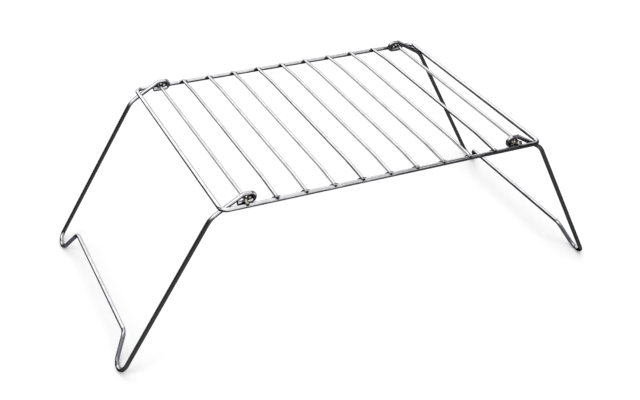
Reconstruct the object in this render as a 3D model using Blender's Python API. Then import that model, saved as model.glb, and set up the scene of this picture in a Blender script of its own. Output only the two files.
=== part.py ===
"""Folding camp grill: a wire grate that stands on two folding wire legs.

Metres, +Z up. The origin is on the floor under the middle of the grate, and +X runs
along the grate, square to its cross bars.
"""

from math import asin, atan2, ceil, cos, hypot, pi, radians, sin, tan

import bmesh
import bpy
from mathutils import Matrix, Vector

# Grate
FRAME_LENGTH = 0.300        # between the centres of the two end wires
FRAME_WIDTH = 0.221         # between the centres of the two long wires
FRAME_HEIGHT = 0.148        # centre of the frame wire above the floor
FRAME_WIRE = 0.0038         # diameter
FRAME_CORNER = 0.006        # bend radius, to the wire's centre
BAR_WIRE = 0.0030           # diameter
BAR_COUNT = 11              # the outermost two are the hinge bars
END_SPACING = 0.0215        # from an end wire to its hinge bar, between centres

# Legs
LEG_WIRE = 0.0038           # diameter
LEG_SLOPE = radians(60)     # below the horizontal, with the leg open
LEG_SIDE_GAP = 0.0020       # between the leg's side wire and the frame's long wire
ARM_REACH = 0.0107          # from the stop under the end wire to the arm's bend
ARM_BEND = 0.020            # bend radius, to the wire's centre
FOOT_BEND = 0.0098          # bend radius, to the wire's centre
FOOT_FLAT = 0.0003          # depth worn flat under each foot
LOW_WIRE_RISE = 0.0243      # from the foot up the leg to the low wire, between centres
LOW_WIRE_INSET = 0.0285     # from the side wire to the end of the low wire
LOW_WIRE_BEND = 0.007       # bend radius, to the wire's centre

# Eyes that close the leg's wire round the hinge bar
EYE_HEIGHT = 0.0036         # inside
EYE_REACH = 0.0067          # from the hinge bar's centre to the inside of the round end

# Clearances
SEAT_GAP = 0.0003           # between wires that touch or are welded together

# Roundness of the modelled wires
ARC_STEP = radians(12)      # turn between two points of a bend
WIRE_SIDES = 12             # flats round a bent wire, a multiple of four
BAR_SIDES = 16
SAME_PLACE = 0.00001        # two bends that meet share the point between them
SHARP_EDGE = radians(40)    # a bar's sides shade smooth, and its ends stay sharp

# Places that follow from the sizes
BAR_LIFT = (FRAME_WIRE + BAR_WIRE) / 2 + SEAT_GAP
HINGE_X = FRAME_LENGTH / 2 - END_SPACING
HINGE_HEIGHT = FRAME_HEIGHT + BAR_LIFT
BAR_PITCH = 2 * HINGE_X / (BAR_COUNT - 1)
BAR_LENGTH = FRAME_WIDTH    # its ends lie over the middle of the long wires
LEG_Y = (FRAME_WIDTH - FRAME_WIRE - LEG_WIRE) / 2 - LEG_SIDE_GAP

STEEL = (0.62, 0.62, 0.64)
BAR_STEEL = (0.80, 0.80, 0.82)
LEG_STEEL = (0.50, 0.50, 0.53)


def clear_scene():
    """Remove whatever the file starts with."""
    for item in list(bpy.data.objects):
        bpy.data.objects.remove(item, do_unlink=True)


def new_collection(name):
    collection = bpy.data.collections.new(name)
    bpy.context.scene.collection.children.link(collection)
    return collection


def plated_steel(name, colour, roughness):
    """Bright plated steel for one sub-part."""
    material = bpy.data.materials.new(name + "_steel")
    material.use_nodes = True
    shader = material.node_tree.nodes["Principled BSDF"]
    shader.inputs["Base Color"].default_value = (*colour, 1)
    shader.inputs["Metallic"].default_value = 1
    shader.inputs["Roughness"].default_value = roughness
    return material


def add_part(name, data, collection, root, colour, roughness):
    part = bpy.data.objects.new(name, data)
    data.materials.append(plated_steel(name, colour, roughness))
    collection.objects.link(part)
    part.parent = root
    return part


def bend(before, corner, after, radius):
    """Points of the arc that rounds a corner and is tangent to both its runs."""
    back = (before - corner).normalized()
    ahead = (after - corner).normalized()
    turn = pi - back.angle(ahead)
    centre = corner + (back + ahead).normalized() * radius / cos(turn / 2)
    spoke = corner + back * radius * tan(turn / 2) - centre
    axis = ahead.cross(back)
    steps = ceil(turn / ARC_STEP)
    return [centre + Matrix.Rotation(turn * i / steps, 3, axis) @ spoke for i in range(steps + 1)]


def wire_curve(name, points, diameter, cyclic):
    """A round wire along a row of points."""
    curve = bpy.data.curves.new(name, "CURVE")
    curve.dimensions = "3D"
    curve.bevel_depth = diameter / 2
    curve.bevel_resolution = WIRE_SIDES // 2 - 2
    curve.use_fill_caps = True
    spline = curve.splines.new("POLY")
    spline.points.add(len(points) - 1)
    for spline_point, place in zip(spline.points, points):
        spline_point.co = (*place, 1)
    spline.use_cyclic_u = cyclic
    spline.use_smooth = True
    return curve


def frame_points():
    """The centre line of the frame wire, a rectangle with rounded corners."""
    half_x = FRAME_LENGTH / 2
    half_y = FRAME_WIDTH / 2
    corners = [Vector((x * half_x, y * half_y, 0)) for x, y in ((1, 1), (-1, 1), (-1, -1), (1, -1))]
    points = []
    for i, corner in enumerate(corners):
        points += bend(corners[i - 1], corner, corners[(i + 1) % len(corners)], FRAME_CORNER)
    return points


def add_frame(collection, root):
    curve = wire_curve("frame_wire", frame_points(), FRAME_WIRE, cyclic=True)
    frame = add_part("frame_wire", curve, collection, root, STEEL, 0.15)
    frame.location.z = FRAME_HEIGHT


def bar_mesh(name):
    """A straight bar along Y with one of its flats on top."""
    shape = bmesh.new()
    bmesh.ops.create_cone(
        shape,
        cap_ends=True,
        segments=BAR_SIDES,
        radius1=BAR_WIRE / 2,
        radius2=BAR_WIRE / 2,
        depth=BAR_LENGTH,
    )
    flat_up = Matrix.Rotation(pi / BAR_SIDES, 4, "Z")
    bmesh.ops.transform(shape, matrix=Matrix.Rotation(pi / 2, 4, "X") @ flat_up, verts=shape.verts)
    mesh = bpy.data.meshes.new(name)
    shape.to_mesh(mesh)
    shape.free()
    mesh.shade_smooth()
    mesh.set_sharp_from_angle(angle=SHARP_EDGE)
    return mesh


def add_bars(collection, root):
    """The cross bars, evenly spaced between the two hinge bars."""
    for i in range(BAR_COUNT):
        name = f"cross_bar_{i:02d}"
        if i == 0:
            name = "hinge_bar_left"
        if i == BAR_COUNT - 1:
            name = "hinge_bar_right"
        bar = add_part(name, bar_mesh(name), collection, root, BAR_STEEL, 0.12)
        bar.location = (i * BAR_PITCH - HINGE_X, 0, HINGE_HEIGHT)


def eye_and_arm():
    """Corners of the eye and the arm, from the eye's tail to the arm's bend.

    Each corner is its X, its Z and its bend radius, outward and up from the hinge axis.
    The arm runs over the hinge bar and under the end wire, which is its stop.
    """
    over_bar = (BAR_WIRE + LEG_WIRE) / 2 + SEAT_GAP
    under_end = (FRAME_WIRE + LEG_WIRE) / 2 + SEAT_GAP
    spacing = hypot(END_SPACING, BAR_LIFT)
    fall = asin((over_bar + under_end) / spacing) + atan2(BAR_LIFT, END_SPACING)

    eye_bend = (EYE_HEIGHT + LEG_WIRE) / 2
    eye_end = EYE_REACH + LEG_WIRE / 2
    low_run = over_bar - 2 * eye_bend
    crest = over_bar * tan(fall / 2)
    tail_room = 2 * eye_bend - LEG_WIRE / 2 - (LEG_WIRE / 2 + SEAT_GAP) / cos(fall)
    tail = crest + tail_room / tan(fall)

    stop_x = END_SPACING - under_end * sin(fall)
    stop_z = -BAR_LIFT - under_end * cos(fall)
    return [
        (tail, low_run, 0),
        (-eye_end, low_run, eye_bend),
        (-eye_end, over_bar, eye_bend),
        (crest, over_bar, over_bar),
        (stop_x + ARM_REACH * cos(fall), stop_z - ARM_REACH * sin(fall), ARM_BEND),
    ]


def foot_and_low_wire(leg_length):
    """Corners of the foot and of the low wire's end, in the leg's sloping plane.

    Each corner is its distance down the leg, its Y and its bend radius.
    """
    low_down = leg_length - LOW_WIRE_RISE
    low_y = LEG_Y - LOW_WIRE_INSET
    centre_down = leg_length - FOOT_BEND
    centre_y = LEG_Y - FOOT_BEND
    run_down = centre_down - low_down
    run_y = centre_y - low_y
    spread = atan2(run_y, run_down) - asin(FOOT_BEND / hypot(run_y, run_down))
    return [
        (centre_down + FOOT_BEND / tan(spread / 2), LEG_Y, FOOT_BEND),
        (low_down, low_y, LOW_WIRE_BEND),
    ]


def leg_points():
    """The centre line of a leg, from one eye to the other, about its hinge axis."""
    half = [(Vector((x, LEG_Y, z)), radius) for x, z, radius in eye_and_arm()]
    knee = half[-1][0]
    foot_height = LEG_WIRE / 2 - FOOT_FLAT
    leg_length = (HINGE_HEIGHT + knee.z - foot_height) / sin(LEG_SLOPE)
    for down, y, radius in foot_and_low_wire(leg_length):
        place = Vector((knee.x + down * cos(LEG_SLOPE), y, knee.z - down * sin(LEG_SLOPE)))
        half.append((place, radius))
    other_half = [(Vector((place.x, -place.y, place.z)), radius) for place, radius in reversed(half)]
    corners = half + other_half
    points = [corners[0][0]]
    for before, corner, after in zip(corners, corners[1:], corners[2:]):
        arc = bend(before[0], corner[0], after[0], corner[1])
        if (arc[0] - points[-1]).length < SAME_PLACE:
            arc = arc[1:]
        points += arc
    points.append(corners[-1][0])
    return points


def leg_mesh(name):
    """A leg's wire as a closed mesh, which can be cut."""
    curve = wire_curve(name, leg_points(), LEG_WIRE, cyclic=False)
    guide = bpy.data.objects.new(name, curve)
    bpy.context.scene.collection.objects.link(guide)
    evaluated = guide.evaluated_get(bpy.context.evaluated_depsgraph_get())
    mesh = bpy.data.meshes.new_from_object(evaluated)
    mesh.name = name
    bpy.data.objects.remove(guide, do_unlink=True)
    bpy.data.curves.remove(curve)
    shape = bmesh.new()
    shape.from_mesh(mesh)
    bmesh.ops.remove_doubles(shape, verts=shape.verts, dist=SAME_PLACE)
    bmesh.ops.recalc_face_normals(shape, faces=shape.faces)
    shape.to_mesh(mesh)
    shape.free()
    return mesh


def add_floor_cutter(collection):
    """A slab below the floor that wears the feet flat."""
    depth = 10 * LEG_WIRE
    bpy.ops.mesh.primitive_cube_add(size=1, location=(0, 0, -depth / 2))
    cutter = bpy.context.object
    cutter.name = "floor_cutter"
    cutter.scale = (2 * (FRAME_LENGTH + FRAME_HEIGHT), 2 * FRAME_WIDTH, depth)
    bpy.ops.object.transform_apply(location=False, rotation=False, scale=True)
    for owner in list(cutter.users_collection):
        owner.objects.unlink(cutter)
    collection.objects.link(cutter)
    cutter.hide_render = True
    cutter.display_type = "WIRE"
    return cutter


def add_leg(name, side, cutter, collection, root):
    """A leg with its origin on its hinge axis, turned to stand out on its side."""
    leg = add_part(name, leg_mesh(name), collection, root, LEG_STEEL, 0.2)
    leg.location = (side * HINGE_X, 0, HINGE_HEIGHT)
    if side < 0:
        leg.rotation_euler.z = pi
    flat = leg.modifiers.new("worn_flat", "BOOLEAN")
    flat.object = cutter
    flat.operation = "DIFFERENCE"
    flat.solver = "EXACT"


def build():
    clear_scene()
    parts = new_collection("folding_grill")
    cutters = new_collection("cutters")
    root = bpy.data.objects.new("grill_origin", None)
    parts.objects.link(root)
    add_frame(parts, root)
    add_bars(parts, root)
    cutter = add_floor_cutter(cutters)
    add_leg("left_leg", -1, cutter, parts, root)
    add_leg("right_leg", 1, cutter, parts, root)


build()
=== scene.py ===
# %% [markdown]
# # A folding camp grill, bent from round wire
# This lesson dresses the plain CAD model of a small camp grill: a flat grate of
# welded steel wire that stands on two folding wire legs. The CAD model comes in
# first and never moves. Each of its wires is then bent again here, rounder and
# with the marks of its making, in the same place and to the same sizes.

# %% Load the frame
from math import asin, atan2, cos, hypot, pi, radians, sin, tan

import bmesh
import bpy
from mathutils import Matrix, Vector, noise


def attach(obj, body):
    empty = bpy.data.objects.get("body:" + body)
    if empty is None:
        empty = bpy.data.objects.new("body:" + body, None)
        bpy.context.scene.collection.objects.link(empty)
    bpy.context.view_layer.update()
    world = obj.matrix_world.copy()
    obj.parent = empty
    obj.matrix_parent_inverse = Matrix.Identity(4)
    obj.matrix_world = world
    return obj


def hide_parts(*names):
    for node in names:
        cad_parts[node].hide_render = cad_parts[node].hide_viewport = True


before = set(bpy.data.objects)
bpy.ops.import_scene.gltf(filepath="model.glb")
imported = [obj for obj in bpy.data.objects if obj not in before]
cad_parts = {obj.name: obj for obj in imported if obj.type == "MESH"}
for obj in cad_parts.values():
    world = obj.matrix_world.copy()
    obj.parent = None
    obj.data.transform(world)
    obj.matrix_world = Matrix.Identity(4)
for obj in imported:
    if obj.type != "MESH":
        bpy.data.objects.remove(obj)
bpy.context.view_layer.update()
print("CAD nodes:", len(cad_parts))

# %% [markdown]
# ## Where the camera stands
# The photograph was taken from in front and to the left of the grill, looking
# down on it. The values below came from matching the straight wires in the picture
# with the same wires of the model. The middle of the lens lies left of the middle
# of the picture, because the picture was cropped, so the camera gets a small shift.

# %% Camera
PICTURE_WIDTH = 640
LENS_PIXELS = 1018.2
LENS_MIDDLE = 260
SENSOR = 36.0
NEAREST, FURTHEST = 0.05, 60.0
CAMERA_PLACE = Vector((-0.3926, -0.7224, 0.5888))
LOOK_DOWN, LOOK_RIGHT, TILT = radians(33.14), radians(24.20), radians(1.70)


def camera_turn():
    """The camera's turn as a matrix: its columns are right, up and backwards."""
    level = cos(LOOK_DOWN)
    right = Vector((cos(LOOK_RIGHT), -sin(LOOK_RIGHT), 0))
    ahead = Vector((sin(LOOK_RIGHT) * level, cos(LOOK_RIGHT) * level, -sin(LOOK_DOWN)))
    up = right.cross(ahead)
    leaned_right = right * cos(TILT) + up * sin(TILT)
    leaned_up = up * cos(TILT) - right * sin(TILT)
    return Matrix((leaned_right, leaned_up, -ahead)).transposed()


lens = bpy.data.cameras.new("camera")
lens.sensor_width = SENSOR
lens.lens = SENSOR * LENS_PIXELS / PICTURE_WIDTH
lens.shift_x = (PICTURE_WIDTH / 2 - LENS_MIDDLE) / PICTURE_WIDTH
lens.clip_start, lens.clip_end = NEAREST, FURTHEST
camera = bpy.data.objects.new("camera", lens)
camera.matrix_world = Matrix.Translation(CAMERA_PLACE) @ camera_turn().to_4x4()
bpy.context.scene.collection.objects.link(camera)
bpy.context.scene.camera = camera
bpy.context.scene.view_settings.view_transform = "Standard"
print("lens in mm:", round(lens.lens, 2), "shift:", round(lens.shift_x, 4))

# %% [markdown]
# ## Building materials from nodes
# Every finish in this lesson is a small tree of nodes. One helper adds a node, sets
# its options and fills or links its sockets, so that the trees read from top to
# bottom. The others each stand for one kind of node that is needed often.


# %% Node helpers
def put(tree, kind, inputs=None, **options):
    """Adds a node. Each input is a value, or the output of another node to link."""
    node = tree.nodes.new(kind)
    for option, value in options.items():
        setattr(node, option, value)
    for socket, value in (inputs or {}).items():
        if isinstance(value, bpy.types.NodeSocket):
            tree.links.new(value, node.inputs[socket])
        else:
            node.inputs[socket].default_value = value
    return node


def maths(tree, operation, first, second=0.0, clamp=False):
    """A Math node's result."""
    inputs = {0: first, 1: second}
    return put(tree, "ShaderNodeMath", inputs, operation=operation, use_clamp=clamp).outputs[0]


def fade(tree, value, start, end, low=0.0, high=1.0):
    """A smooth step of a value, from low at start to high at end."""
    inputs = {"Value": value, "From Min": start, "From Max": end, "To Min": low, "To Max": high}
    step = put(tree, "ShaderNodeMapRange", inputs, interpolation_type="SMOOTHSTEP")
    return step.outputs["Result"]


def blend_colour(tree, share, first, second):
    """Goes from the first colour to the second."""
    inputs = {0: share, 6: first, 7: second}
    return put(tree, "ShaderNodeMix", inputs, data_type="RGBA", clamp_factor=True).outputs[2]


def clouds(tree, vector, scale, detail, roughness=0.5):
    """A Noise Texture's value."""
    inputs = {"Vector": vector, "Scale": scale, "Detail": detail, "Roughness": roughness}
    return put(tree, "ShaderNodeTexNoise", inputs).outputs["Fac"]


# %% Material helpers
def object_place(tree):
    """Object coordinates, which stay with a piece when it moves."""
    return put(tree, "ShaderNodeTexCoord").outputs["Object"]


def new_material(name):
    """A material with only its output and an empty Principled BSDF."""
    material = bpy.data.materials.new(name)
    material.use_nodes = True
    tree = material.node_tree
    tree.nodes.clear()
    surface = put(tree, "ShaderNodeBsdfPrincipled")
    put(tree, "ShaderNodeOutputMaterial", {"Surface": surface.outputs["BSDF"]})
    return material, tree, surface


# %% [markdown]
# ## Floor and light
# A plain pale floor fills the view, and the camera and the polished wire see it a
# little whiter than it lights the grill. Polished wire shows what is around it, so the
# light matters more here than on cloth or wood. One broad soft light stands low
# behind the grill and draws the bright stripe along every cross bar. One in front
# lights the long wires, one overhead fills their tops, and one on the left catches
# the arms of the legs. Two low ones stand at the sides, so that the grill also
# shines when it is seen from its ends, and the rest of the room stays dim.

# %% Floor
FLOOR_RADIUS, FLOOR_SIDES, FLOOR_DROP = 14.0, 96, 0.00005
FLOOR_GREY, FLOOR_WHITE = (0.965, 0.965, 0.965, 1), (0.98, 0.98, 0.98, 1)
FLOOR_GRAIN, FLOOR_DETAIL, FLOOR_ROUGHNESS, FLOOR_SHINE = 60.0, 4.0, 0.9, 0.1
BLACK, WHITENING = (0, 0, 0, 1), (0.07, 0.07, 0.07, 1)

floor_material, tree, surface = new_material("pale_floor")
grain = clouds(tree, object_place(tree), FLOOR_GRAIN, FLOOR_DETAIL)
tree.links.new(blend_colour(tree, grain, FLOOR_GREY, FLOOR_WHITE), surface.inputs["Base Color"])
surface.inputs["Roughness"].default_value = FLOOR_ROUGHNESS
surface.inputs["Specular IOR Level"].default_value = FLOOR_SHINE
ray = put(tree, "ShaderNodeLightPath").outputs
seen = maths(tree, "MAXIMUM", ray["Is Camera Ray"], ray["Is Glossy Ray"])
tree.links.new(blend_colour(tree, seen, BLACK, WHITENING), surface.inputs["Emission Color"])
surface.inputs["Emission Strength"].default_value = 1.0

floor_shape = bmesh.new()
bmesh.ops.create_circle(floor_shape, cap_ends=True, radius=FLOOR_RADIUS, segments=FLOOR_SIDES)
bmesh.ops.translate(floor_shape, verts=floor_shape.verts, vec=(0, 0, -FLOOR_DROP))
floor_mesh = bpy.data.meshes.new("floor")
floor_shape.to_mesh(floor_mesh)
floor_shape.free()
floor_mesh.materials.append(floor_material)
floor = bpy.data.objects.new("floor", floor_mesh)
bpy.context.scene.collection.objects.link(floor)
print("floor, m across:", 2 * FLOOR_RADIUS)

# %% Light
ROOM_LIGHT = 0.12


def add_soft_light(name, azimuth, elevation, spread, strength):
    """A broad soft light far away. Azimuth 0 is behind the grill, and 90 is on its right."""
    lamp = bpy.data.lights.new(name, "SUN")
    lamp.angle = radians(spread)
    lamp.energy = strength
    light = bpy.data.objects.new(name, lamp)
    towards = Vector((
        sin(radians(azimuth)) * cos(radians(elevation)),
        cos(radians(azimuth)) * cos(radians(elevation)),
        sin(radians(elevation)),
    ))
    light.rotation_mode = "QUATERNION"
    light.rotation_quaternion = towards.to_track_quat("Z", "Y")
    bpy.context.scene.collection.objects.link(light)


add_soft_light("back_light", azimuth=6, elevation=22, spread=80, strength=1.90)
add_soft_light("top_light", azimuth=80, elevation=84, spread=48, strength=0.63)
add_soft_light("left_light", azimuth=-112, elevation=52, spread=36, strength=0.56)
add_soft_light("front_light", azimuth=192, elevation=38, spread=84, strength=1.36)
for side, azimuth in (("left", -88), ("right", 94)):
    add_soft_light(f"{side}_glow", azimuth, elevation=14, spread=50, strength=0.42)
room = bpy.data.worlds.new("room")
room.use_nodes = True
room.node_tree.nodes["Background"].inputs["Color"].default_value = (1, 1, 1, 1)
room.node_tree.nodes["Background"].inputs["Strength"].default_value = ROOM_LIGHT
bpy.context.scene.world = room
print("lights:", [lamp.name for lamp in bpy.data.lights])

# %% [markdown]
# ## A wire bender
# A wire bender knows two moves. It feeds the wire forward, and it turns the wire
# round a die. In bmesh both moves are an extrusion of the wire's front face, which
# is then pushed or turned. Bent this way, the wire keeps its true round section in
# every bend. Each point also remembers where it lay on the straight wire, and the
# drawing lines and scratches follow the wire round its bends because of that.

# %% Wire bender
WIRE_SIDES = 32
POLISHED_OFF = 0.000005
BEND_STEP = radians(4)
SAME_PLACE = 0.000005


class Wire:
    """One wire in the bender, known by its front face."""

    def __init__(self, diameter, start, heading):
        self.mesh = bmesh.new()
        self.drawn = self.mesh.verts.layers.float_vector.new("drawn")
        self.place, self.heading = Vector(start), Vector(heading).normalized()
        self.length, self.bent_at = 0.0, []
        radius = diameter / 2 - POLISHED_OFF
        disc = bmesh.ops.create_circle(
            self.mesh, cap_ends=True, radius=radius, segments=WIRE_SIDES)["verts"]
        for vertex in disc:
            vertex[self.drawn] = vertex.co.copy()
        stand = self.heading.to_track_quat("Z", "Y").to_matrix().to_4x4()
        bmesh.ops.transform(self.mesh, matrix=Matrix.Translation(self.place) @ stand, verts=disc)
        self.front = disc[0].link_faces[0]

    def pull(self, length):
        """Extrudes the front face in place and counts the wire that this uses."""
        last = self.front
        grown = bmesh.ops.extrude_face_region(self.mesh, geom=[last])["geom"]
        ring = [part for part in grown if isinstance(part, bmesh.types.BMVert)]
        self.front = next(part for part in grown if isinstance(part, bmesh.types.BMFace))
        if self.length > 0:
            bmesh.ops.delete(self.mesh, geom=[last], context="FACES_ONLY")
        for vertex in ring:
            vertex[self.drawn] = vertex[self.drawn] + Vector((0, 0, length))
        self.length += length
        return ring

    def feed(self, length, steps=1):
        """Pushes the wire straight on."""
        for _ in range(steps):
            move = self.heading * length / steps
            bmesh.ops.translate(self.mesh, verts=self.pull(length / steps), vec=move)
            self.place += move

    def bend(self, towards, turn, radius):
        """Turns the wire to one side round a die of this radius."""
        side = (towards - towards.project(self.heading)).normalized()
        die, axis = self.place + side * radius, self.heading.cross(side)
        steps = max(1, round(turn / BEND_STEP))
        step = Matrix.Rotation(turn / steps, 3, axis)
        for _ in range(steps):
            ring = self.pull(radius * turn / steps)
            bmesh.ops.rotate(self.mesh, verts=ring, cent=die, matrix=step)
        whole = Matrix.Rotation(turn, 3, axis)
        self.place = die + whole @ (self.place - die)
        self.heading = (whole @ self.heading).normalized()
        self.bent_at.append(self.length - radius * turn / 2)

    def follow(self, corners, run_steps=1):
        """Bends the wire along a route. Each corner is a place and its bend's radius."""
        for i, (corner, radius) in enumerate(corners):
            gap = corner - self.place
            if i + 1 == len(corners):
                self.feed(gap.length, run_steps)
                return
            ahead = (corners[i + 1][0] - corner).normalized()
            turn = gap.angle(ahead)
            straight = gap.length - radius * tan(turn / 2)
            if straight > SAME_PLACE:
                self.feed(straight, run_steps)
            self.bend(ahead, turn, radius)


print("sides round each wire:", WIRE_SIDES)

# %% [markdown]
# ## From a bent wire to a finished piece
# A sheared wire end is never a perfect disc, so its rim gets a small bevel. Then
# doubles are merged, the faces are turned outwards and the sides shade smooth.
# Each point also keeps the way it faces while the grill stands up, because the
# painted shade knows the top of a wire from its underside, also after a leg has folded.

# %% Finishing helpers
CUT_EDGE = 0.00028
CREASE = radians(50)


def round_cut_ends(wire):
    """Breaks the sharp rim of both sheared ends."""
    ends = [face for face in wire.mesh.faces if len(face.verts) == WIRE_SIDES]
    rims = {edge for face in ends for edge in face.edges}
    bmesh.ops.bevel(wire.mesh, geom=list(rims), offset=CUT_EDGE, offset_type="OFFSET",
                    segments=3, profile=0.5, affect="EDGES", material=-1)


def close_ring(wire):
    """Joins the two ends of a wire that has come back to its start."""
    ends = [face for face in wire.mesh.faces if len(face.verts) == WIRE_SIDES]
    bmesh.ops.delete(wire.mesh, geom=ends, context="FACES_ONLY")


def finish_piece(shape, name, body, nodes=()):
    """Makes a bmesh a piece of the grill that rides on a body of the frame."""
    bmesh.ops.remove_doubles(shape, verts=shape.verts, dist=SAME_PLACE)
    bmesh.ops.recalc_face_normals(shape, faces=shape.faces)
    facing = shape.verts.layers.float_vector.new("facing")
    shape.normal_update()
    for vertex in shape.verts:
        vertex[facing] = vertex.normal
    open_edges = sum(not edge.is_manifold for edge in shape.edges)
    for face in shape.faces:
        face.smooth = True
    for edge in shape.edges:
        if edge.is_manifold and edge.calc_face_angle() > CREASE:
            edge.smooth = False
    triangles = sum(len(face.verts) - 2 for face in shape.faces)
    mesh = bpy.data.meshes.new(name)
    shape.to_mesh(mesh)
    shape.free()
    piece = bpy.data.objects.new(name, mesh)
    bpy.context.scene.collection.objects.link(piece)
    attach(piece, body)
    if nodes:
        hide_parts(*nodes)
    print(name, "triangles:", triangles, "open edges:", open_edges)
    return piece


# %% [markdown]
# ## The frame wire
# The rim of the grate is one 3.8 mm wire, bent to a rectangle and joined end to end.
# It is bent here from the middle of the right end wire, where the join is, once
# round the corners and back.

# %% Frame wire
FRAME_LENGTH, FRAME_WIDTH, FRAME_HEIGHT = 0.300, 0.221, 0.148
FRAME_WIRE, FRAME_CORNER = 0.0038, 0.006
JOIN_LENGTH = 0.0012

half_length, half_width = FRAME_LENGTH / 2, FRAME_WIDTH / 2
rim = Wire(FRAME_WIRE, (half_length, 0, FRAME_HEIGHT), (0, 1, 0))
route = [(Vector((x * half_length, y * half_width, FRAME_HEIGHT)), FRAME_CORNER)
         for x, y in ((1, 1), (-1, 1), (-1, -1), (1, -1))]
route.append((Vector((half_length, -JOIN_LENGTH, FRAME_HEIGHT)), 0))
rim.follow(route, run_steps=12)
rim.feed(JOIN_LENGTH)
close_ring(rim)
print("wire in the rim, mm:", round(rim.length * 1000, 1))
frame_piece = finish_piece(rim.mesh, "rim_wire", "grate", ["frame_wire"])

# %% [markdown]
# ## Cross bars and hinge bars
# Eleven straight 3 mm wires lie across the rim. A spot welder presses the hot end
# of each one down into the long wire with a copper tip, so the bar bows down a little
# towards its ends, and a shallow flat stays on top over the weld. The hinge bars dip
# only at their very ends, because the legs' eyes need them straight. The rings near
# the welds are close together so that the flat has something to bend. The bars lay
# against a stop in the welding jig, so each one reaches a little further over the
# front wire than over the back one.

# %% Cross bars and hinge bars
BAR_WIRE, BAR_COUNT, END_SPACING, SEAT_GAP = 0.0030, 11, 0.0215, 0.0003
BAR_HEIGHT = FRAME_HEIGHT + (FRAME_WIRE + BAR_WIRE) / 2 + SEAT_GAP
BAR_LENGTH = FRAME_WIDTH
HINGE_X = half_length - END_SPACING
BAR_PITCH = 2 * HINGE_X / (BAR_COUNT - 1)
TIP_REACH, TIP_DEPTH = 0.0020, 0.00022
DIP_DEPTH, BAR_DIP, HINGE_DIP = 0.0016, 0.036, 0.0040
JIG_SHIFT = 0.0008
END_RINGS, MIDDLE_RINGS = 10, 84


def press_weld_marks(wire, dip_length):
    """Presses the bar's ends down, flattens their tops and shifts the bar to its stop."""
    for vertex in wire.mesh.verts:
        from_end = BAR_LENGTH / 2 - abs(vertex.co.y)
        if from_end < TIP_REACH:
            top = BAR_HEIGHT + BAR_WIRE / 2 - TIP_DEPTH * min(1, 2 - 2 * from_end / TIP_REACH)
            vertex.co.z = min(vertex.co.z, top)
        if from_end < dip_length:
            vertex.co.z -= DIP_DEPTH * (0.5 + 0.5 * cos(pi * from_end / dip_length))
        vertex.co.y -= JIG_SHIFT


def bend_bar(x, dip_length):
    """One straight bar across the grate, pressed down over this length at its ends."""
    bar = Wire(BAR_WIRE, (x, -BAR_LENGTH / 2, BAR_HEIGHT), (0, 1, 0))
    bar.feed(HINGE_DIP, steps=END_RINGS)
    bar.feed(BAR_LENGTH - 2 * HINGE_DIP, steps=MIDDLE_RINGS)
    bar.feed(HINGE_DIP, steps=END_RINGS)
    press_weld_marks(bar, dip_length)
    round_cut_ends(bar)
    return bar.mesh


def add_bar(x, dip_length, name, node):
    """A finished bar of the grate that stands for one node."""
    return finish_piece(bend_bar(x, dip_length), name, "grate", [node])


bar_places = [-HINGE_X + BAR_PITCH * i for i in range(BAR_COUNT)]
bar_pieces, hinge_pieces = [], []
for number, x in enumerate(bar_places[1:-1], start=1):
    bar_pieces.append(add_bar(x, BAR_DIP, f"grate_bar_{number:02d}", f"cross_bar_{number:02d}"))
for side, x in (("left", bar_places[0]), ("right", bar_places[-1])):
    hinge_pieces.append(add_bar(x, HINGE_DIP, f"hinge_rod_{side}", f"hinge_bar_{side}"))
print("gap between bars, mm:", round((BAR_PITCH - BAR_WIRE) * 1000, 2))

# %% [markdown]
# ## Welds
# Where a bar crosses the rim, the hot steel was squeezed out into the corner between
# them, most of it on the inner side. A flattened ball, made a little uneven, sits in
# each crossing and fills the narrow gap that the CAD model leaves there. A smaller
# one lies outside it, under the tip of the bar.

# %% Welds
WELD_INWARD, WELD_DROP, WELD_SIZE = 0.0016, 0.0011, (0.0042, 0.0017, 0.0013)
TOE_OUTWARD, TOE_DROP, TOE_SIZE = 0.0009, 0.0008, (0.0017, 0.0008, 0.0011)
LUMP_ROUGHNESS, LUMP_WAVES, LUMP_SHIFT = 0.14, 1.7, 300


def add_lump(shape, place, half_sizes):
    """One flattened lump of weld. Its place makes it uneven in its own way."""
    lump = bmesh.ops.create_icosphere(shape, subdivisions=3, radius=1)["verts"]
    shift = Vector((place[0], place[1], 0)) * LUMP_SHIFT
    for vertex in lump:
        vertex.co *= 1 + LUMP_ROUGHNESS * noise.noise(vertex.co * LUMP_WAVES + shift)
    bmesh.ops.scale(shape, verts=lump, vec=half_sizes)
    bmesh.ops.translate(shape, verts=lump, vec=place)


def keep_places(shape):
    """Lets the drawing lines of a lump follow its own place."""
    drawn = shape.verts.layers.float_vector.new("drawn")
    for vertex in shape.verts:
        vertex[drawn] = vertex.co.copy()


welds = bmesh.new()
rim_top = FRAME_HEIGHT + FRAME_WIRE / 2
for x in bar_places:
    for way in (-1, 1):
        add_lump(welds, (x, way * (half_width - WELD_INWARD), rim_top - WELD_DROP), WELD_SIZE)
        add_lump(welds, (x, way * (half_width + TOE_OUTWARD), rim_top - TOE_DROP), TOE_SIZE)
keep_places(welds)
weld_piece = finish_piece(welds, "bar_welds", "grate")
print("welded crossings:", 2 * len(bar_places))

# %% [markdown]
# ## The legs
# Each leg is one 3.8 mm wire. It starts as a long eye closed round the hinge bar,
# runs down under the end wire, which is its stop, and turns into the steep side
# wire. At the floor it makes a narrow foot, comes back up and crosses to the other
# side as the low wire. The route is a row of corners, and the bender rounds them.
# A bead of weld in the round end of each eye keeps the hinge bar from sliding along it.

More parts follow.
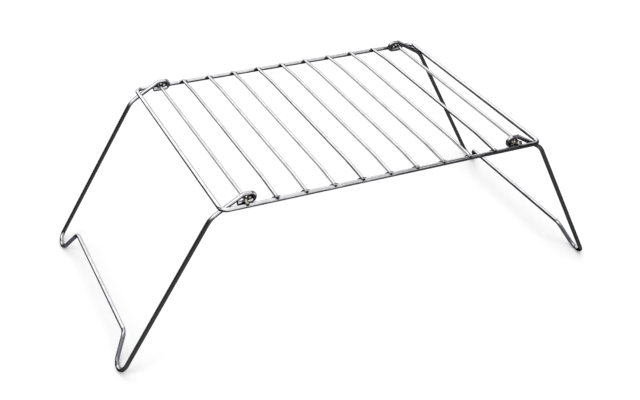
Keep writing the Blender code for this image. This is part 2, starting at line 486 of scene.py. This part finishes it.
# %% Leg sizes
LEG_WIRE, LEG_SLOPE, LEG_SIDE_GAP = 0.0038, radians(60), 0.0020
ARM_REACH, ARM_BEND = 0.0107, 0.020
FOOT_BEND, FOOT_FLAT = 0.0098, 0.0003
LOW_WIRE_RISE, LOW_WIRE_INSET, LOW_WIRE_BEND = 0.0243, 0.0285, 0.007
EYE_HEIGHT, EYE_REACH = 0.0036, 0.0067
LEG_Y = (FRAME_WIDTH - FRAME_WIRE - LEG_WIRE) / 2 - LEG_SIDE_GAP


def eye_and_arm():
    """X, Z and bend radius of each corner from the eye's tail to the arm's bend.

    The places are measured from the hinge axis."""
    lift = BAR_HEIGHT - FRAME_HEIGHT
    over_bar = (BAR_WIRE + LEG_WIRE) / 2 + SEAT_GAP
    under_end = (FRAME_WIRE + LEG_WIRE) / 2 + SEAT_GAP
    fall = asin((over_bar + under_end) / hypot(END_SPACING, lift)) + atan2(lift, END_SPACING)
    eye_bend = (EYE_HEIGHT + LEG_WIRE) / 2
    eye_end = EYE_REACH + LEG_WIRE / 2
    low_run = over_bar - 2 * eye_bend
    crest = over_bar * tan(fall / 2)
    tail_room = 2 * eye_bend - LEG_WIRE / 2 - (LEG_WIRE / 2 + SEAT_GAP) / cos(fall)
    stop_x = END_SPACING - under_end * sin(fall)
    stop_z = -lift - under_end * cos(fall)
    return [
        (crest + tail_room / tan(fall), low_run, 0),
        (-eye_end, low_run, eye_bend),
        (-eye_end, over_bar, eye_bend),
        (crest, over_bar, over_bar),
        (stop_x + ARM_REACH * cos(fall), stop_z - ARM_REACH * sin(fall), ARM_BEND),
    ]


def foot_corners(leg_length):
    """Distance down the leg, Y and bend radius of the foot's tip and of the low wire's end."""
    low_down, low_y = leg_length - LOW_WIRE_RISE, LEG_Y - LOW_WIRE_INSET
    run_down, run_y = leg_length - FOOT_BEND - low_down, LEG_Y - FOOT_BEND - low_y
    spread = atan2(run_y, run_down) - asin(FOOT_BEND / hypot(run_y, run_down))
    return [
        (leg_length - FOOT_BEND + FOOT_BEND / tan(spread / 2), LEG_Y, FOOT_BEND),
        (low_down, low_y, LOW_WIRE_BEND),
    ]


print("corners in half a leg:", len(eye_and_arm()) + 2)


# %% Leg route
def leg_route(way):
    """Corners of a leg from one eye to the other. Way is 1 on the right and -1 on the left."""
    half = [(Vector((x, LEG_Y, z)), radius) for x, z, radius in eye_and_arm()]
    knee = half[-1][0]
    leg_length = (BAR_HEIGHT + knee.z - (LEG_WIRE / 2 - FOOT_FLAT)) / sin(LEG_SLOPE)
    for down, y, radius in foot_corners(leg_length):
        place = Vector((knee.x + down * cos(LEG_SLOPE), y, knee.z - down * sin(LEG_SLOPE)))
        half.append((place, radius))
    other = [(Vector((place.x, -place.y, place.z)), radius) for place, radius in reversed(half)]
    return [(Vector((way * (HINGE_X + place.x), way * place.y, BAR_HEIGHT + place.z)), radius)
            for place, radius in half + other]


def wear_feet_flat(shape):
    """Cuts off the wire that would stand below the floor and closes the cuts."""
    cut = bmesh.ops.bisect_plane(shape, geom=shape.verts[:] + shape.edges[:] + shape.faces[:],
                                 plane_co=(0, 0, 0), plane_no=(0, 0, -1), clear_outer=True)
    rims = [part for part in cut["geom_cut"] if isinstance(part, bmesh.types.BMEdge)]
    bmesh.ops.holes_fill(shape, edges=rims)


def bend_leg(way):
    """One leg with round bends, sheared ends and worn feet."""
    route = leg_route(way)
    leg = Wire(LEG_WIRE, route[0][0], route[1][0] - route[0][0])
    leg.follow(route[1:], run_steps=6)
    round_cut_ends(leg)
    wear_feet_flat(leg.mesh)
    return leg


# %% Two legs and their beads
BEAD_INWARD, BEAD_SIZE = 0.0043, (0.0025, 0.0011, 0.0020)

leg_pieces, bead_pieces = [], []
for side, way in (("left", -1), ("right", 1)):
    leg = bend_leg(way)
    body = f"{side}_leg_body"
    leg_piece = finish_piece(leg.mesh, f"{side}_leg_wire", body, [f"{side}_leg"])
    leg_pieces.append(leg_piece)
    beads = bmesh.new()
    for end in (-1, 1):
        add_lump(beads, (way * (HINGE_X - BEAD_INWARD), end * LEG_Y, BAR_HEIGHT), BEAD_SIZE)
    keep_places(beads)
    bead_pieces.append(finish_piece(beads, f"{side}_eye_beads", body))

half_leg = leg.length / 2
knee_at, foot_at, low_bend_at = (half_leg - leg.bent_at[bend] for bend in (3, 4, 5))
print("wire in one leg, mm:", round(leg.length * 1000, 1))
print("low bend, foot and knee, mm from the middle of the leg:",
      [round(place * 1000, 1) for place in (low_bend_at, foot_at, knee_at)])

# %% [markdown]
# ## Effects that the finishes share
# All the finishes are steel wire that was drawn through a die and plated. They
# share fine lines along the wire, a faint cloudiness in the plating and the heat
# mark of each weld. Two more effects are painted shade: which parts of a wire are
# painted dark as shade, and how strong that painted shade is on each bar. Each effect
# is a node group with its own inputs, and the materials place it with their own values.


# %% Group helpers
def new_group(name, inputs, outputs):
    """An empty node group, its input node and its output node."""
    group = bpy.data.node_groups.new(name, "ShaderNodeTree")
    for label, value in inputs.items():
        kind = "NodeSocketVector" if value is None else "NodeSocketFloat"
        socket = group.interface.new_socket(label, in_out="INPUT", socket_type=kind)
        if value is not None:
            socket.default_value = value
    for label in outputs:
        group.interface.new_socket(label, in_out="OUTPUT", socket_type="NodeSocketFloat")
    return group, put(group, "NodeGroupInput").outputs, put(group, "NodeGroupOutput").inputs


def add(tree, first, second):
    """The sum of two values."""
    return maths(tree, "ADD", first, second)


def subtract(tree, first, second):
    """The first value less the second."""
    return maths(tree, "SUBTRACT", first, second)


def multiply(tree, first, second):
    """The product of two values."""
    return maths(tree, "MULTIPLY", first, second)


def distance(tree, first, second):
    """How far away a point is, from two steps at right angles to each other."""
    squares = add(tree, multiply(tree, first, first), multiply(tree, second, second))
    return maths(tree, "SQRT", squares)


def split(tree, vector):
    """A vector's X, Y and Z."""
    return put(tree, "ShaderNodeSeparateXYZ", {0: vector}).outputs


# %% Drawing lines
LINE_DETAIL, LINE_ROUGHNESS = 4.0, 0.62
SCRATCH_SCALE, SCRATCH_DETAIL, SCRATCH_EDGES = 0.31, 2.0, (0.62, 0.72)

drawing_lines, given, result = new_group(
    "drawing_lines", {"Vector": None, "Across": 5200.0, "Along": 140.0}, ["Height", "Scratches"])
sizes = {0: given["Across"], 1: given["Across"], 2: given["Along"]}
stretch = put(drawing_lines, "ShaderNodeCombineXYZ", sizes).outputs[0]
stretched = {0: given["Vector"], 1: stretch}
lines = put(drawing_lines, "ShaderNodeVectorMath", stretched, operation="MULTIPLY").outputs[0]
ridges = clouds(drawing_lines, lines, 1.0, LINE_DETAIL, LINE_ROUGHNESS)
drawing_lines.links.new(ridges, result["Height"])
faint = clouds(drawing_lines, lines, SCRATCH_SCALE, SCRATCH_DETAIL)
drawing_lines.links.new(fade(drawing_lines, faint, *SCRATCH_EDGES), result["Scratches"])
print("drawing_lines nodes:", len(drawing_lines.nodes))

# %% Cloudy plating
CLOUD_DETAIL = 3.0
SPECKS_PER_CLOUD, SPECK_EDGES = 38.0, (0.16, 0.08)

cloudy_plating, given, result = new_group(
    "cloudy_plating", {"Vector": None, "Size": 90.0}, ["Cloud", "Specks"])
cloud = clouds(cloudy_plating, given["Vector"], given["Size"], CLOUD_DETAIL)
cloudy_plating.links.new(cloud, result["Cloud"])
fine = multiply(cloudy_plating, given["Size"], SPECKS_PER_CLOUD)
speck = put(cloudy_plating, "ShaderNodeTexVoronoi", {"Vector": given["Vector"], "Scale": fine})
specks = fade(cloudy_plating, speck.outputs["Distance"], *SPECK_EDGES)
cloudy_plating.links.new(specks, result["Specks"])
print("cloudy_plating nodes:", len(cloudy_plating.nodes))

# %% Weld heat
HOT_CORE = 0.15
PATCH_SCALE, PATCH_DETAIL, PATCH_EDGES, PATCH_LEAST = 420.0, 2.0, (0.3, 0.6), 0.45

weld_heat, given, result = new_group("weld_heat", {"Vector": None, "Reach": 0.006}, ["Heat"])
spot = split(weld_heat, given["Vector"])
from_bar = maths(weld_heat, "PINGPONG", maths(weld_heat, "ABSOLUTE", spot["X"]), BAR_PITCH / 2)
from_rim = subtract(weld_heat, maths(weld_heat, "ABSOLUTE", spot["Y"]), half_width)
reached = maths(weld_heat, "DIVIDE", distance(weld_heat, from_bar, from_rim), given["Reach"])
patches = clouds(weld_heat, given["Vector"], PATCH_SCALE, PATCH_DETAIL)
patchy = fade(weld_heat, patches, *PATCH_EDGES, low=PATCH_LEAST)
heat = multiply(weld_heat, fade(weld_heat, reached, 1.0, HOT_CORE), patchy)
weld_heat.links.new(heat, result["Heat"])
print("weld_heat nodes:", len(weld_heat.nodes))

# %% [markdown]
# ## Painted shade on the wires
# The top of each wire keeps the plating's own greys, and its underside is painted
# dark: painted shade for the dim floor and room that polished wire reflects there.
# The painted shade reaches higher on the sides that face the two ends, and towards
# the right, where it is painted shade for the dimmer light from that side. Edge is
# how high the painted shade reaches, Outer and Inner how much each side adds, and one
# more input how much the right adds. Frontal keeps that to the front of the rim. The
# painted shade is strong on a few of the bars and weak on the others, so a White Noise
# node gives each bar a number of its own.

# %% Painted shade mask
# Painted shade: this mask lets undersides, end-facing sides and the right side be painted dark.
UNEVENNESS, UNSHADED_EDGE = 0.4, 0.12
RIGHT_SHADE_RUN = (-0.05, 0.15)
FRONT_PLACE, FRONT_FACING = (0.05, -0.05), (0.1, -0.5)

painted_shade_mask, given, result = new_group(
    "painted_shade_mask",
    {"Vector": None, "Facing": None, "Cloud": 0.5, "Edge": 0.15,
     "Outer": 0.5, "Inner": 0.5, "Rise": 0.0, "Frontal": 0.0},
    ["Rubbed"])
spot, faced = split(painted_shade_mask, given["Vector"]), split(painted_shade_mask, given["Facing"])
outward = multiply(painted_shade_mask, faced["X"], maths(painted_shade_mask, "SIGN", spot["X"]))
outer = multiply(painted_shade_mask, maths(painted_shade_mask, "MAXIMUM", outward, 0.0), given["Outer"])
inner = multiply(painted_shade_mask, maths(painted_shade_mask, "MINIMUM", outward, 0.0), given["Inner"])
uneven = multiply(painted_shade_mask, subtract(painted_shade_mask, given["Cloud"], 0.5), UNEVENNESS)
in_front = fade(painted_shade_mask, spot["Y"], *FRONT_PLACE)
on_front = multiply(painted_shade_mask, in_front, fade(painted_shade_mask, faced["Y"], *FRONT_FACING))
spared = multiply(painted_shade_mask, given["Frontal"], subtract(painted_shade_mask, 1.0, on_front))
to_right = fade(painted_shade_mask, spot["X"], *RIGHT_SHADE_RUN)
shade_to_right = multiply(painted_shade_mask, to_right, subtract(painted_shade_mask, 1.0, spared))
edge = add(painted_shade_mask, given["Edge"], multiply(painted_shade_mask, shade_to_right, given["Rise"]))
facing_up_less_outer = subtract(painted_shade_mask, faced["Z"], outer)
height = add(painted_shade_mask, facing_up_less_outer, add(painted_shade_mask, inner, uneven))
unshaded = fade(painted_shade_mask, subtract(painted_shade_mask, height, edge), -UNSHADED_EDGE, UNSHADED_EDGE)
painted_shade_mask.links.new(unshaded, result["Rubbed"])
print("painted_shade_mask nodes:", len(painted_shade_mask.nodes))

# %% Painted shade strength on each bar
SHADE_SEED, SHADE_SHARE_EDGES = 66, (0.5, 0.8)

# How strong the painted shade is on each bar, a random number for each bar.
shade_share, given, result = new_group("shade_share", {"Vector": None, "Least": 1.0}, ["Share"])
across = split(shade_share, given["Vector"])["X"]
number = maths(shade_share, "ROUND", maths(shade_share, "DIVIDE", across, BAR_PITCH))
seeded = {"W": add(shade_share, number, SHADE_SEED)}
own = put(shade_share, "ShaderNodeTexWhiteNoise", seeded, noise_dimensions="1D").outputs["Value"]
share = maths(shade_share, "MAXIMUM", fade(shade_share, own, *SHADE_SHARE_EDGES), given["Least"])
shade_share.links.new(share, result["Share"])
print("shade_share nodes:", len(shade_share.nodes))

# %% [markdown]
# ## Plated wire
# One function lays the shared effects over a plated wire: first the two greys of the
# plating, then the painted shade on the undersides and sides, then the heat mark of
# the weld, which shows through the painted shade, and last the specks. Each finish gets
# its own colours and values. The lumps of weld have the same skin, burnt dark, with
# painted shade in the corners where they sit.

# %% Plated wire
EDGE_SHEEN = (0.15, 0.15, 0.15, 1)
CLOUD_EDGES, DULL_EDGES, DULLEST = (0.35, 0.65), (0.3, 0.7), 1.6
HEAT_COVER, HEAT_ROUGHNESS = 0.85, 0.08
SPECK_COVER, SPECK_GREY, SPECK_DEPTH = 0.3, (0.04, 0.04, 0.04), 0.5
SCRATCH_ROUGHNESS, LINE_STRENGTH, LINE_DEPTH = 0.10, 0.25, 0.00004


def place_group(tree, group, **inputs):
    """Places a node group in a material with its own values."""
    labelled = {label.capitalize(): value for label, value in inputs.items()}
    return put(tree, "ShaderNodeGroup", labelled, node_tree=group).outputs


def kept_on_mesh(tree, name):
    """The vector that each point of the mesh keeps under this name."""
    return put(tree, "ShaderNodeAttribute", attribute_name=name).outputs["Vector"]


def lay_over(material, share, colour):
    """Blends one more colour over what a material shows so far."""
    tree = material.node_tree
    base = tree.nodes["Principled BSDF"].inputs["Base Color"]
    tree.links.new(blend_colour(tree, share, base.links[0].from_socket, (*colour, 1)), base)


def plated_wire(name, greys, shade_colour, heated, rough, reach=0.006, least=1.0, **shading):
    """A plated wire between two greys, painted dark on its undersides and sides as shade, and
    tinted near its welds.
    """
    material, tree, surface = new_material(name)
    place = object_place(tree)
    lines = place_group(tree, drawing_lines, vector=kept_on_mesh(tree, "drawn"))
    plating = place_group(tree, cloudy_plating, vector=place)
    heat = place_group(tree, weld_heat, vector=place, reach=reach)["Heat"]
    facing = kept_on_mesh(tree, "facing")
    unshaded = place_group(tree, painted_shade_mask, vector=place, facing=facing,
                         cloud=plating["Cloud"], **shading)["Rubbed"]
    shade_strength = place_group(tree, shade_share, vector=place, least=least)["Share"]

    dark, light = greys
    cloudy = fade(tree, plating["Cloud"], *CLOUD_EDGES)
    colour = blend_colour(tree, cloudy, (*dark, 1), (*light, 1))
    tree.links.new(colour, surface.inputs["Base Color"])
    # Painted shade: the undersides and sides of the wire are darkened here.
    lay_over(material, multiply(tree, shade_strength, subtract(tree, 1.0, unshaded)), shade_colour)
    lay_over(material, multiply(tree, heat, HEAT_COVER), heated)
    lay_over(material, multiply(tree, plating["Specks"], SPECK_COVER), SPECK_GREY)

    roughness = fade(tree, plating["Cloud"], *DULL_EDGES, rough, rough * DULLEST)
    roughness = add(tree, roughness, multiply(tree, lines["Scratches"], SCRATCH_ROUGHNESS))
    roughness = maths(tree, "ADD", roughness, multiply(tree, heat, HEAT_ROUGHNESS), clamp=True)
    tree.links.new(roughness, surface.inputs["Roughness"])
    height = subtract(tree, lines["Height"], multiply(tree, plating["Specks"], SPECK_DEPTH))
    bump_inputs = {"Height": height, "Strength": LINE_STRENGTH, "Distance": LINE_DEPTH}
    bump = put(tree, "ShaderNodeBump", bump_inputs)
    tree.links.new(bump.outputs["Normal"], surface.inputs["Normal"])
    surface.inputs["Metallic"].default_value = 1.0
    surface.inputs["Specular Tint"].default_value = EDGE_SHEEN
    return material


# %% Finishes of the grate
# Painted shade colours for the undersides and sides of the wires.
SHADE_GREY, VIOLET_SHADE = (0.062, 0.062, 0.064), (0.044, 0.043, 0.050)
RUST_TINT, SCALE_TINT = (0.23, 0.195, 0.15), (0.055, 0.05, 0.05)
BAR_GREYS = (0.57, 0.57, 0.575), (0.655, 0.655, 0.66)
RIM_GREYS = (0.62, 0.62, 0.635), (0.71, 0.71, 0.725)
# Weld skin: nearly black, partly heat scale and partly painted shade in the corners where the
# bars cross the rim.
BURNT_AND_SHADED_GREYS = (0.016, 0.0155, 0.016), (0.028, 0.027, 0.026)
BURNT_SHADE, BURNT_TINT = (0.014, 0.014, 0.014), (0.014, 0.0135, 0.0135)
POLISH = 0.08

bright_bars = plated_wire("bright_bars", BAR_GREYS, SHADE_GREY, SCALE_TINT, rough=POLISH,
                          reach=0.0013, least=0.24, edge=0.12, outer=0.3, inner=0.3)
hinge_bars = plated_wire("hinge_bars", BAR_GREYS, SHADE_GREY, RUST_TINT, rough=POLISH,
                         reach=0.010, least=0.24, edge=0.12, outer=0.3, inner=0.3)
grey_rim = plated_wire("grey_rim", RIM_GREYS, VIOLET_SHADE, SCALE_TINT, rough=POLISH,
                       reach=0.0030, edge=0.17, outer=0.4, inner=0.15, rise=0.6, frontal=1.0)
weld_skin = plated_wire("weld_skin", BURNT_AND_SHADED_GREYS, BURNT_SHADE, BURNT_TINT, rough=0.22, edge=0.30)
grate_finishes = (bright_bars, hinge_bars, grey_rim, weld_skin)
print("finishes of the grate:", [finish.name for finish in grate_finishes])

# %% [markdown]
# ## Leg steel
# The legs start as the same plated wire. Their steep side wires are painted nearly
# black from the knee down to the foot: painted shade for the dim room that this
# polished wire reflects. A mask along the wire's own length puts the painted shade
# there, measured from the middle of the low wire, so that it is the same on both sides
# and stays in place when the leg folds. The inner branch of each foot gets a lighter
# painted shade. The beads in the eyes are dark as well, partly burnt and partly
# painted shade inside the eye, with a painted glint in the middle.

# %% Leg steel
LEG_GREYS = (0.55, 0.55, 0.57), (0.66, 0.66, 0.68)
# Painted shade colours: nearly black on the side wires, lighter on each foot's inner branch.
SIDE_SHADE, SIDE_SHADE_COVER, SIDE_SHADE_FADE = (0.043, 0.043, 0.042), 0.97, 0.012
FOOT_SHADE, FOOT_SHADE_COVER, FOOT_SHADE_START, FOOT_SHADE_FULL = (0.10, 0.10, 0.12), 0.75, 0.002, 0.006

dark_legs = plated_wire("dark_legs", LEG_GREYS, VIOLET_SHADE, RUST_TINT, rough=POLISH,
                        edge=0.12, outer=0.7, inner=0.1, rise=0.25)
tree = dark_legs.node_tree
# Painted shade along the wire's length, the same on both sides of the leg.
run = split(tree, kept_on_mesh(tree, "drawn"))["Z"]
from_middle = maths(tree, "ABSOLUTE", subtract(tree, run, half_leg))
past_bend = fade(tree, from_middle, low_bend_at - FOOT_SHADE_START, low_bend_at + FOOT_SHADE_FULL)
before_foot = fade(tree, from_middle, foot_at, foot_at - SIDE_SHADE_FADE)
foot_shaded = multiply(tree, past_bend, before_foot)
lay_over(dark_legs, multiply(tree, foot_shaded, FOOT_SHADE_COVER), FOOT_SHADE)
above_foot = fade(tree, from_middle, foot_at, foot_at + 2 * SIDE_SHADE_FADE)
below_knee = fade(tree, from_middle, knee_at, knee_at - SIDE_SHADE_FADE)
side_shaded = multiply(tree, above_foot, below_knee)
lay_over(dark_legs, multiply(tree, side_shaded, SIDE_SHADE_COVER), SIDE_SHADE)
print("painted shade on each side wire, mm:", round((knee_at - foot_at) * 1000, 1))

# %% Eye beads
# Bead colours: burnt dark and painted shade inside the eye, with a painted glint in the middle.
BEAD_SHADED_GREYS, BEAD_SHADE = ((0.05, 0.048, 0.044), (0.07, 0.066, 0.06)), (0.03, 0.029, 0.027)
GLINT_GREY, GLINT_RADIUS, GLINT_CORE = (0.62, 0.58, 0.50), 0.0012, 0.6

bead_skin = plated_wire("bead_skin", BEAD_SHADED_GREYS, BEAD_SHADE, SCALE_TINT, rough=0.30, edge=0.2)
tree = bead_skin.node_tree
# Painted glint: a light spot in the middle of each bead.
spot = split(tree, object_place(tree))
sideways = subtract(tree, maths(tree, "ABSOLUTE", spot["X"]), HINGE_X - BEAD_INWARD)
upward = subtract(tree, spot["Z"], BAR_HEIGHT)
glint = fade(tree, distance(tree, sideways, upward), GLINT_RADIUS, GLINT_RADIUS * GLINT_CORE)
lay_over(bead_skin, glint, GLINT_GREY)
print("bare spot on each bead, mm across:", 2 * GLINT_RADIUS * 1000)

# %% Dress the pieces
dressed = ((grey_rim, [frame_piece]), (weld_skin, [weld_piece]), (bright_bars, bar_pieces),
           (hinge_bars, hinge_pieces), (dark_legs, leg_pieces), (bead_skin, bead_pieces))
for finish, pieces in dressed:
    for piece in pieces:
        piece.data.materials.append(finish)
    print("dressed in", finish.name + ":", len(pieces))
